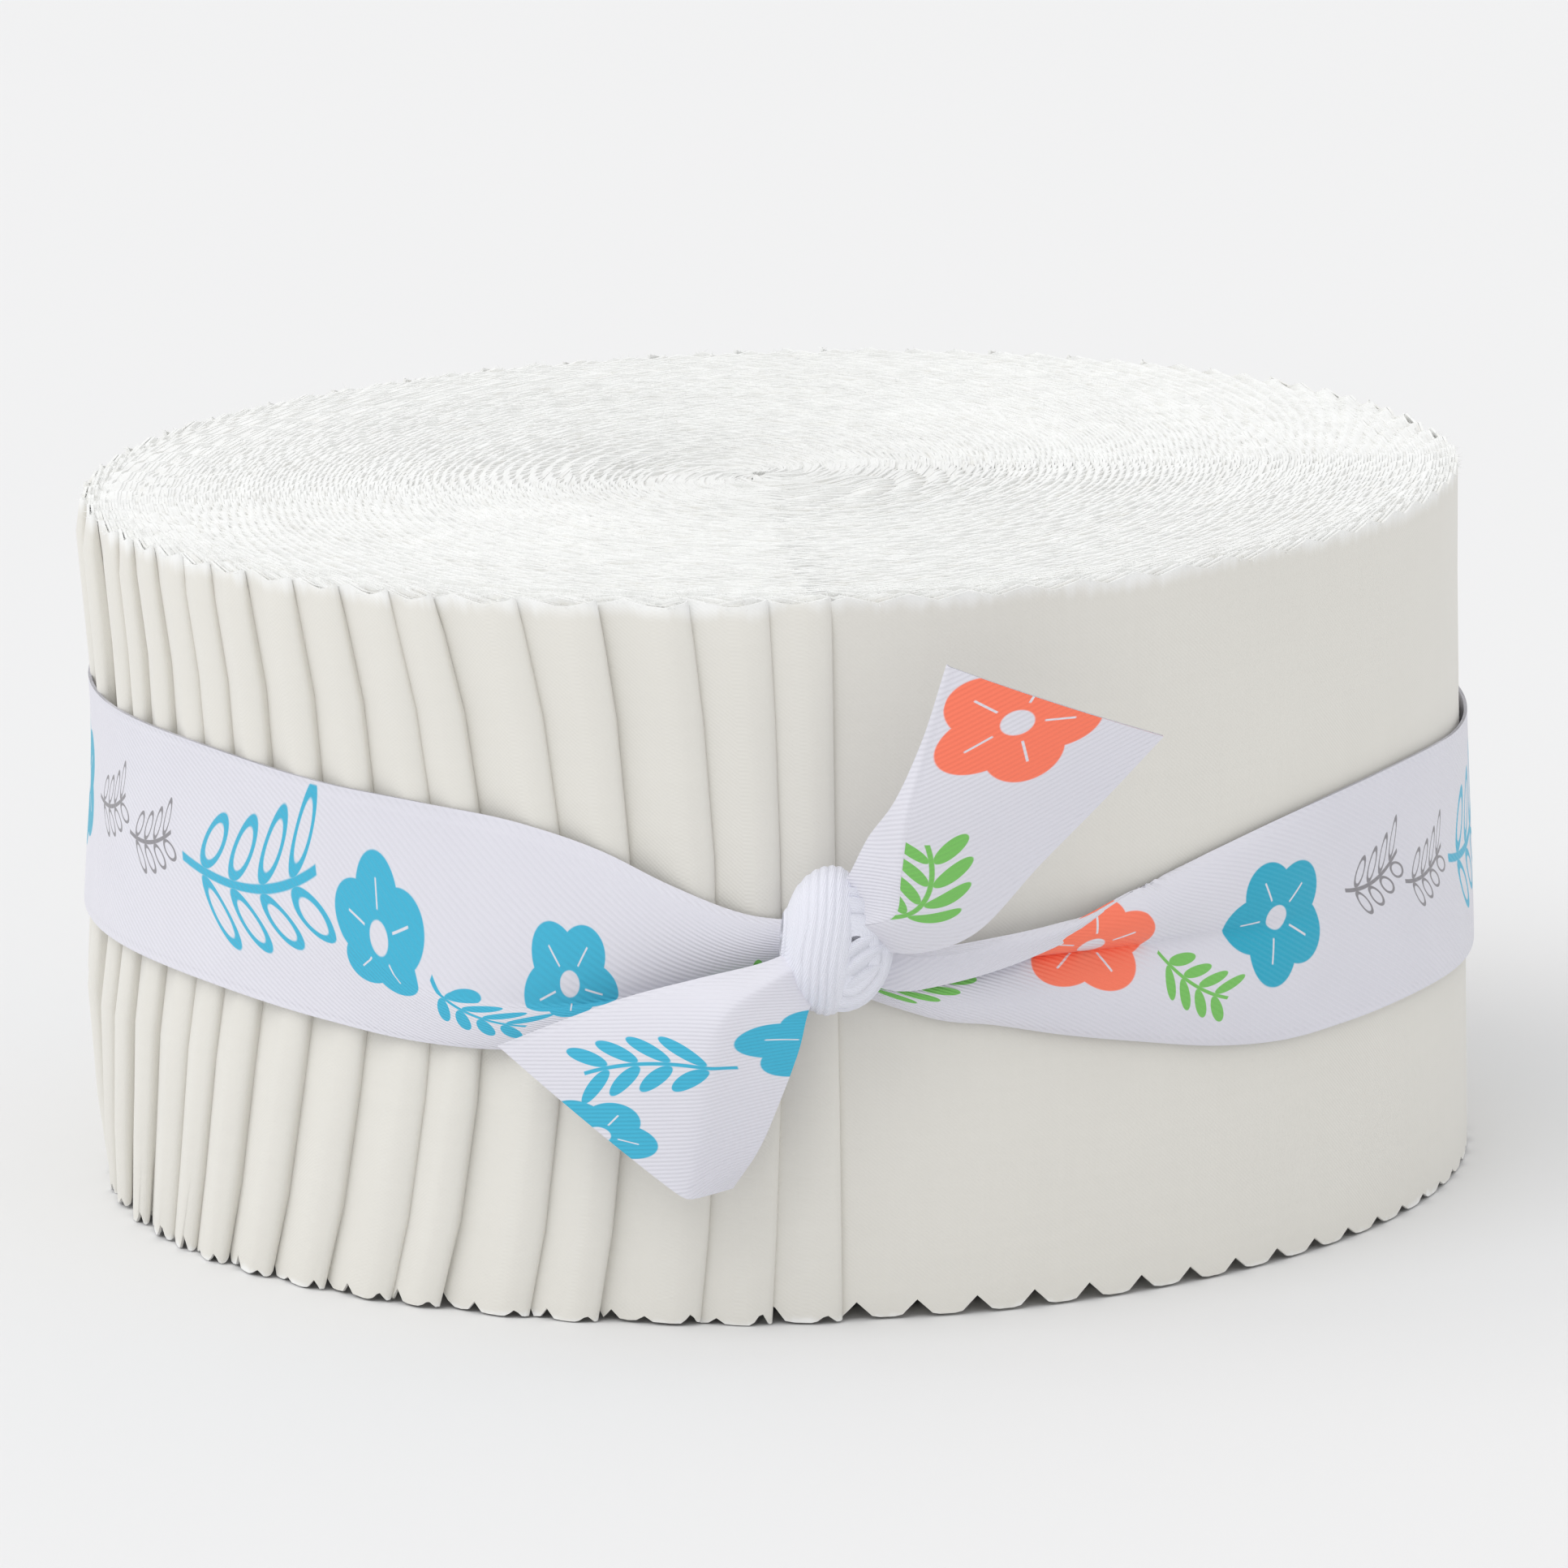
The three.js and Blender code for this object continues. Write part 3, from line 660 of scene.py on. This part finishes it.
# The core: its share of the knot's size, how near its grid comes to its poles, its points round it
# and up it, and its puckers, each with its depth, its number round the core and its slant
CORE_SHARE = 0.93
POLE_GAP = 0.02
CORE_STEPS = (73, 37)
PUCKERS = ((0.05, 7, 5), (0.03, 11, -9))
# The wraps round the knot, outermost last, as shares of the knot's half size: where its axis points,
# its place along that axis, its width, how far it stands proud, and its pleats' number and depth
KNOT_WRAPS = np.array(
    [
        (-0.35, 0.05, 0.93, -0.45, 0.80, 0.04, 3, 0.045),
        (-0.75, 0.15, 0.62, 0.30, 0.90, 0.03, 3, 0.040),
        (0.40, -0.90, -0.10, 0.70, 0.50, 0.13, 3, 0.050),
        (0.98, 0.05, -0.15, -0.40, 1.25, 0.18, 8, 0.014),
    ],
    dtype=[
        (name, float)
        for name in ("axis_x", "axis_y", "axis_z", "shift", "width", "proud", "pleats", "pleat_depth")
    ],
)


# A wrap's loop starts square to its axis and to this direction. It has this many points round it
# and across it, and where it would shrink to nothing its radius squared is held at the least.
LOOP_START = (0.1, 1.0, 0.2)
WRAP_STEPS = 109
WRAP_ACROSS = 33
LEAST_REACH_SQUARED = 0.1
# How much of its height a wrap loses towards its edges, and right at them
WRAP_CROWN = 0.25
WRAP_TUCK = 0.7


def knot_centre():
    """The knot's middle, seated on the wall under it."""
    seat = crest_radius(FRONT_FOLD) - waist_depth(FRONT_FOLD, KNOT["z"]) + KNOT_SEAT
    return np.array([KNOT["x"], CENTRE[1] - float(seat) - KNOT_HALF_SIZE[1], KNOT["z"]])


def knot_core():
    """The middle of the knot: an ellipsoid with slanting puckers in it, each a sine of the turn and
    the rise."""
    pole = np.pi / 2 - POLE_GAP
    turns = np.linspace(0, 2 * np.pi, CORE_STEPS[0])
    rises = np.linspace(-pole, pole, CORE_STEPS[1])
    turn, rise = np.meshgrid(turns, rises, indexing="ij")
    pucker = 1
    for depth, number, slant in PUCKERS:
        pucker = pucker + depth * np.cos(rise) * np.sin(number * turn + slant * rise)
    direction = np.stack([np.cos(rise) * np.cos(turn), np.cos(rise) * np.sin(turn), np.sin(rise)], -1)
    return knot_centre() + direction * KNOT_HALF_SIZE * pucker[..., None] * CORE_SHARE


def knot_wrap(wrap):
    """A wrap as a grid round the knot: a loop about its own axis, held on the knot's ellipsoid. Its
    edges are tucked in, by the eighth power of the place across. Sines across it pleat it, and
    sines round it let the pleats sway."""
    axis = np.array([wrap["axis_x"], wrap["axis_y"], wrap["axis_z"]])
    axis /= np.linalg.norm(axis)
    level = np.cross(axis, LOOP_START)
    level /= np.linalg.norm(level)
    upright = np.cross(axis, level)
    turn = np.linspace(0, 2 * np.pi, WRAP_STEPS)[:, None]
    across = np.linspace(-1, 1, WRAP_ACROSS)[None, :]
    place = wrap["shift"] + across * wrap["width"] / 2
    reach = np.sqrt(np.maximum(1 - place**2, LEAST_REACH_SQUARED))
    raised = wrap["proud"] * (1 - WRAP_CROWN * across**2 - WRAP_TUCK * across**8)
    sway = 0.9 * np.sin(2 * turn + 3 * wrap["shift"]) + 0.5 * np.sin(5 * turn)
    pleats = wrap["pleat_depth"] * np.sin(np.pi * wrap["pleats"] * across + sway) * (1 - across**4)
    radius = (reach + raised + pleats)[..., None]
    ring = np.cos(turn)[..., None] * level + np.sin(turn)[..., None] * upright
    return knot_centre() + np.array(KNOT_HALF_SIZE) * (radius * ring + place[..., None] * axis)


# Materials

class Wire:
    """An output of a material's node. Arithmetic on it adds Math nodes."""

    def __init__(self, finish, socket):
        self.finish = finish
        self.socket = socket

    def math(self, operation, *others):
        values = dict(enumerate((self, *others)))
        return self.finish.node("ShaderNodeMath", {"operation": operation}, values)

    def __add__(self, other):
        return self.math("ADD", other)

    def __sub__(self, other):
        return self.math("SUBTRACT", other)

    def __rsub__(self, other):
        return self.finish.node("ShaderNodeMath", {"operation": "SUBTRACT"}, {0: other, 1: self})

    def __mul__(self, other):
        return self.math("MULTIPLY", other)

    def __truediv__(self, other):
        return self.math("DIVIDE", other)

    def __pow__(self, other):
        return self.math("POWER", other)

    __radd__ = __add__
    __rmul__ = __mul__

    def sin(self):
        return self.math("SINE")

    def cos(self):
        return self.math("COSINE")

    def size(self):
        return self.math("ABSOLUTE")

    def below(self, edge, softness):
        """1 where this is below the edge and 0 above it, over a soft step."""
        settings = {"interpolation_type": "SMOOTHSTEP", "clamp": True}
        values = {"Value": edge - self, "From Min": -softness, "From Max": softness}
        return self.finish.node("ShaderNodeMapRange", settings, values)

    def within(self, low, high, softness):
        """1 between two edges and 0 outside them."""
        return self.below(high, softness) * (1 - self.below(low, softness))


class Finish:
    """A material in the making, with a Principled BSDF whose sockets take values or wires."""

    def __init__(self, name):
        self.material = bpy.data.materials.new(name)
        self.material.use_nodes = True
        self.tree = self.material.node_tree
        self.shader = self.tree.nodes["Principled BSDF"]

    def node(self, kind, settings, values, output=0):
        """Adds a node, with its settings first and then its sockets' values or links."""
        node = self.tree.nodes.new(kind)
        for name, value in settings.items():
            setattr(node, name, value)
        for name, value in values.items():
            self.feed(node.inputs[name], value)
        return Wire(self, node.outputs[output])

    def feed(self, socket, value):
        if isinstance(value, Wire):
            self.tree.links.new(value.socket, socket)
        else:
            socket.default_value = value

    def set(self, **values):
        for name, value in values.items():
            self.feed(self.shader.inputs[name.replace("_", " ")], value)

    def cloth_uv(self):
        """The piece's own UVs: metres along the cloth and metres across it, and both as a vector."""
        uv = self.node("ShaderNodeUVMap", {"uv_map": "cloth"}, {})
        along = self.node("ShaderNodeSeparateXYZ", {}, {0: uv}, "X")
        across = self.node("ShaderNodeSeparateXYZ", {}, {0: uv}, "Y")
        return along, across, uv

    def noise(self, vector, scale, stretch=(1, 1, 1)):
        """Noise from 0 to 1, with its vector stretched first."""
        mapped = self.node("ShaderNodeMapping", {}, {"Vector": vector, "Scale": stretch})
        return self.node("ShaderNodeTexNoise", {}, {"Vector": mapped, "Scale": scale, "Detail": 2.0})

    def mix(self, share, first, second):
        """A colour between two colours."""
        return self.node("ShaderNodeMix", {"data_type": "RGBA"}, {0: share, 6: first, 7: second}, 2)

    def bump(self, height, strength):
        """A normal that is bumped by the threads' height."""
        values = {"Height": height, "Distance": THREAD_RELIEF, "Strength": strength}
        return self.node("ShaderNodeBump", {}, values, "Normal")


# How high the threads of the weave and of the ribs stand, in metres
THREAD_RELIEF = 0.00006
# The weave's pitch in metres, and how far the fray reaches in from the lower and the upper edge
WEAVE_PITCH = 0.00036
FRAYED_FOOT = 0.2
FRAYED_TOP = 1.0
COTTON_TONES = ((0.74, 0.722, 0.672, 1), (0.79, 0.773, 0.722, 1))
# The frayed edges' tones, from dim grey to near white: whiter than the cloth partly as loose fuzz is and
# partly painted light, and the mottle between them is painted light and shade on the fuzz
FRAYED_AND_PAINTED_LIGHT_TONES = ((0.82, 0.823, 0.81, 1), (0.985, 0.99, 0.98, 1))
# The top is duller round the core: by how much, to what distance and how softly, in metres
CORE_DULLNESS = 0.35
DULL_REACH = 0.018
DULL_SOFTNESS = 0.014


def cotton():
    """Off-white quilting cotton: a plain weave with thicker and thinner threads both ways, dull and
    a little uneven in tone. Where the cut edges are frayed it is whiter, partly as loose fuzz is and
    partly painted light, and mottled with painted flecks of light and shade, darker round the core."""
    finish = Finish("cotton")
    along, across, uv = finish.cloth_uv()
    warp = (along * (2 * math.pi / WEAVE_PITCH)).sin()
    weft = (across * (2 * math.pi / WEAVE_PITCH)).sin()
    slubs_along = finish.noise(uv, 900.0, (0.06, 1.0, 1.0))
    slubs_across = finish.noise(uv, 900.0, (1.0, 0.06, 1.0))
    cloudy = finish.noise(uv, 90.0)
    weave = 0.5 + 0.2 * warp * weft + 0.4 * (slubs_along - 0.5) + 0.4 * (slubs_across - 0.5)
    tone = 0.5 + 0.5 * (cloudy - 0.5) + 0.3 * (slubs_along + slubs_across - 1.0)
    place = finish.node("ShaderNodeTexCoord", {}, {}, "Object")
    ends = {0: place, 1: tuple(MM * value for value in (*CORE, STRIP_WIDTH))}
    from_core = finish.node("ShaderNodeVectorMath", {"operation": "DISTANCE"}, ends, "Value")
    # Painted flecks of light and shade on the frayed edges, darker round the core
    painted_flecks_and_core_darkening = finish.noise(place, 450.0) - CORE_DULLNESS * from_core.below(DULL_REACH, DULL_SOFTNESS)
    height = across / MM + 2.0 * (cloudy - 0.5) + 1.6 * (slubs_across - 0.5)
    bare = 1 - (1 - height.below(FRAYED_FOOT, 0.4)) * height.below(STRIP_WIDTH - FRAYED_TOP, 0.9)
    plain = finish.mix(tone, *COTTON_TONES)
    finish.set(
        Base_Color=finish.mix(bare, plain, finish.mix(painted_flecks_and_core_darkening, *FRAYED_AND_PAINTED_LIGHT_TONES)),
        Roughness=0.86 + 0.1 * cloudy,
        Normal=finish.bump(weave, 0.5),
        Sheen_Weight=0.25,
        Sheen_Roughness=0.5,
        Specular_IOR_Level=0.25,
    )
    return finish.material


# The ribbon's print, in millimetres along its repeat and across from its middle. The size is a
# flower's radius or half a spray's length, the turn is in degrees, and a hollow leaf is an outline.
REPEAT = 128.0
PRINT = np.array(
    [
        ("spray", "green", 5.5, -4.0, 5.2, 30, 0.0),
        ("flower", "coral", 22.0, 1.2, 6.4, 10, 0.0),
        ("spray", "green", 32.0, -4.0, 4.2, -35, 0.0),
        ("flower", "teal", 42.5, 0.8, 6.4, 40, 0.0),
        ("spray", "grey", 57.0, 1.5, 4.6, 10, 0.5),
        ("spray", "grey", 67.5, 0.0, 4.6, 10, 0.5),
        ("spray", "cyan", 84.0, 0.5, 9.8, 12, 0.42),
        ("flower", "cyan", 101.0, 1.6, 5.4, 25, 0.0),
        ("spray", "cyan", 111.0, -2.6, 5.4, -30, 0.0),
        ("flower", "cyan", 120.0, 1.4, 4.4, 55, 0.0),
    ],
    dtype=[
        ("kind", "U6"),
        ("ink", "U5"),
        ("along", float),
        ("across", float),
        ("size", float),
        ("turn", float),
        ("hollow", float),
    ],
)
INKS = {
    "coral": (1.0, 0.205, 0.115, 1),
    "green": (0.19, 0.545, 0.115, 1),
    "teal": (0.012, 0.40, 0.58, 1),
    "cyan": (0.045, 0.45, 0.66, 1),
    "grey": (0.26, 0.25, 0.27, 1),
}
# The printed tones are the ribbon's ground. The plain ones, for the knot, are a lighter, bluer copy of
# them: painted light on the knot.
RIBBON_AND_LIT_KNOT_TONES = {
    "printed": ((0.717, 0.711, 0.777, 1), (0.757, 0.751, 0.817, 1)),
    "plain": ((0.80, 0.81, 0.895, 1), (0.84, 0.85, 0.935, 1)),
}
PETALS = 5
PRINT_SOFTNESS = 0.014
# The ribs' distance, and how far across they run for each millimetre along the ribbon
RIB_PITCH = 0.55
RIB_SLANT = 0.55
# The selvage: how far its woven line lies in from the edge, and how far in the print stops
SELVAGE_LINE = 0.5
PRINT_MARGIN = 0.3


def flower(x, y, hollow):
    """A flat flower on a circle of radius 1, with a bare eye and a bare line along each petal. The
    size of the cosine of half as many turns as it has petals draws its edge in between them."""
    reach = (x * x + y * y) ** 0.5
    angle = y.math("ARCTAN2", x)
    edge = 0.76 + 0.24 * (angle * (PETALS / 2)).cos().size()
    body = (reach - edge).below(0.0, PRINT_SOFTNESS)
    eye = reach.below(0.2, PRINT_SOFTNESS)
    beside = (reach * (angle * (PETALS / 2)).sin()).size()
    lines = beside.below(0.04, PRINT_SOFTNESS) * reach.within(0.32, 0.68, PRINT_SOFTNESS)
    return body * (1 - eye) * (1 - lines)


def spray(x, y, hollow):
    """A bent stem from -1 to 1 with pairs of slanting leaves, each an ellipse, or a ring of one."""
    bent = y - 0.22 * x * x + 0.08
    side = bent.size()
    stem = side.below(0.042, 0.01) * x.size().below(1.0, 0.01)
    slant = x - side * 0.75
    cell = (slant / 0.44).math("FRACT") - 0.5
    leaf_x = cell * 2.75
    leaf_y = (side - 0.32) / 0.29
    leaf = leaf_x * leaf_x + leaf_y * leaf_y
    inside = leaf.below(1.0, 0.08) * slant.size().below(0.88, 0.01)
    bare = leaf.below(hollow, 0.06) if hollow else 0.0
    return stem.math("MAXIMUM", inside * (1 - bare))


SHAPES = {"flower": flower, "spray": spray}


def ribbon(printed):
    """White ribbon with slanting ribs and a close woven selvage. The printed ribbon bears flowers
    and sprays, which repeat along it. The unprinted one, for the knot, is lighter: painted light."""
    finish = Finish("ribbon_printed" if printed else "ribbon_knot_painted_light")
    along, across, uv = finish.cloth_uv()
    along, across = along / MM, across / MM
    ribs = ((along * RIB_SLANT + across) * (2 * math.pi / RIB_PITCH)).sin()
    fine = finish.noise(uv, 1500.0)
    cloudy = finish.noise(uv, 120.0)
    middle = across - RIBBON_WIDTH / 2
    selvage = (middle.size() - (RIBBON_WIDTH / 2 - SELVAGE_LINE)).size().below(0.25, 0.15)
    deep, pale = RIBBON_AND_LIT_KNOT_TONES["printed" if printed else "plain"]
    colour = finish.mix(cloudy, deep, pale)
    if printed:
        place = (along / REPEAT).math("FRACT") * REPEAT
        face = across.within(PRINT_MARGIN, RIBBON_WIDTH - PRINT_MARGIN, 0.1)
        for motif in PRINT:
            turn = math.radians(motif["turn"])
            dx = (place - float(motif["along"])) / float(motif["size"])
            dy = (middle - float(motif["across"])) / float(motif["size"])
            x = dx * math.cos(turn) + dy * math.sin(turn)
            y = dy * math.cos(turn) - dx * math.sin(turn)
            shape = SHAPES[motif["kind"]](x, y, float(motif["hollow"]))
            colour = finish.mix(shape * face, colour, INKS[motif["ink"]])
    finish.set(
        Base_Color=colour,
        Roughness=0.5 + 0.15 * fine,
        Normal=finish.bump(0.5 * ribs + 0.4 * fine - 0.6 * selvage, 0.7),
        Sheen_Weight=0.15,
        Specular_IOR_Level=0.4,
    )
    return finish.material


# A ribbon's back has no print. Its UVs lie this far off the print, across.
BACK_SHIFT = 100.0
# Where each tail starts in the print's repeat
UPPER_TAIL_START = -2.5
LOWER_TAIL_START = 95.0


def tail_uv(points, start, crease_shift):
    """UVs of a tail in millimetres, shifted across beyond its crease."""
    along = along_and_across(points, RIBBON_WIDTH)[..., 0] + start
    widths = np.linalg.norm(np.diff(points, axis=1), axis=-1)
    across = np.concatenate([np.zeros((len(points), 1)), np.cumsum(widths, axis=1)], 1)
    past_crease = np.arange(points.shape[1]) >= points.shape[1] // 2
    return np.stack([along, across + crease_shift * past_crease], -1)


def ribbon_piece(name, node, surfaces, material):
    """A piece of ribbon cloth from one or more grids with their UVs, in the place of its solid."""
    parts = [
        sheet_mesh(surface, grid_normals(surface), RIBBON_CLOTH, uv * MM, BACK_SHIFT * MM)
        for surface, uv in surfaces
    ]
    piece = make_piece(name, *join_meshes(parts), [material])
    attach(piece, "root")
    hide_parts(node)
    return piece


def build_ribbon():
    """The band and both tails are sheets, and the knot between them goes with them. The upper tail
    shows its bare back beyond its crease."""
    printed = ribbon(True)
    band = band_surface()
    upper = tail_surface(UPPER_TAIL)
    lower = tail_surface(LOWER_TAIL)
    wraps = [knot_core()] + [knot_wrap(wrap) for wrap in KNOT_WRAPS]
    knot_surfaces = [(wrap, along_and_across(wrap, RIBBON_WIDTH)) for wrap in wraps]
    # The knot's unprinted ribbon is lighter than the band's: painted light.
    knot = ribbon_piece("knot", "ribbon_knot", knot_surfaces, ribbon(False))
    for name, node, surface, uv, length in (
        ("ribbon_round_roll", "ribbon_band", band, along_and_across(band, RIBBON_WIDTH), 0.4),
        ("tail_up", "ribbon_tail_upper", upper, tail_uv(upper, UPPER_TAIL_START, BACK_SHIFT), 0.028),
        ("tail_down", "ribbon_tail_lower", lower, tail_uv(lower, LOWER_TAIL_START, 0.0), 0.024),
    ):
        piece = ribbon_piece(name, node, [(surface, uv)], printed)


# Floor, light and camera

FLOOR_TONES = ((0.807, 0.807, 0.809, 1), (0.822, 0.822, 0.824, 1))
FLOOR_HALF_SIDE = 6000.0
FLOOR_HEIGHT = -0.05


def build_stage():
    """A pale matt floor that runs back past the picture's edges."""
    finish = Finish("floor")
    place = finish.node("ShaderNodeTexCoord", {}, {}, "Object")
    tone = finish.noise(place, 3.0)
    finish.set(Base_Color=finish.mix(tone, *FLOOR_TONES), Roughness=0.9)
    half, z = FLOOR_HALF_SIDE, FLOOR_HEIGHT
    points = np.array([(-half, -half, z), (half, -half, z), (half, half, z), (-half, half, z)])
    uv = np.array([(0, 0), (1, 0), (1, 1), (0, 1)], float)
    floor = make_piece("floor", points, np.array([(0, 1, 2, 3)]), uv, [finish.material])


def soft_sun(name, energy, spread, toward):
    """A wide distant lamp that shines from a direction."""
    data = bpy.data.lights.new(name, "SUN")
    data.energy = energy
    data.angle = math.radians(spread)
    lamp = bpy.data.objects.new(name, data)
    lamp.rotation_euler = Vector(toward).to_track_quat("Z", "Y").to_euler()
    bpy.context.scene.collection.objects.link(lamp)


def build_light():
    """A white room, a wide soft key from above on the left of the front, and a weak lamp level with
    the roll on its left."""
    world = bpy.data.worlds.new("studio")
    world.use_nodes = True
    background = world.node_tree.nodes["Background"]
    background.inputs["Color"].default_value = (0.995, 0.997, 1.0, 1)
    background.inputs["Strength"].default_value = 0.88
    bpy.context.scene.world = world
    soft_sun("key", 0.62, 40, (-0.4, -0.4, 0.82))
    soft_sun("left", 0.28, 40, (-0.85, 0.12, 0.5))
    bpy.context.scene.view_settings.view_transform = "Standard"


# The photograph is 1932 pixels square. The camera looks down on the roll from the front and is
# turned a little about its own axis. Its focal length is in pixels, and its target in millimetres.
IMAGE_SIDE = 1932
FOCAL_PIXELS = 13577
DISTANCE = 1000.0
ELEVATION = math.radians(11.89)
ROLL = math.radians(1.67)
TARGET = (0.81, 0.0, 34.13)


def build_camera():
    data = bpy.data.cameras.new("camera")
    data.sensor_width = 36.0
    data.lens = data.sensor_width * FOCAL_PIXELS / IMAGE_SIDE
    data.clip_start = 0.05
    camera = bpy.data.objects.new("camera", data)
    back = Vector((0, -math.cos(ELEVATION), math.sin(ELEVATION)))
    level = Vector((1, 0, 0))
    upright = back.cross(level)
    right = level * math.cos(ROLL) - upright * math.sin(ROLL)
    above = level * math.sin(ROLL) + upright * math.cos(ROLL)
    camera.matrix_world = Matrix.Translation((Vector(TARGET) + back * DISTANCE) * MM) @ Matrix(
        (right, above, back)
    ).transposed().to_4x4()
    bpy.context.scene.collection.objects.link(camera)
    bpy.context.scene.camera = camera


build_camera()
build_stage()
build_light()
build_strips(cotton())
build_ribbon()
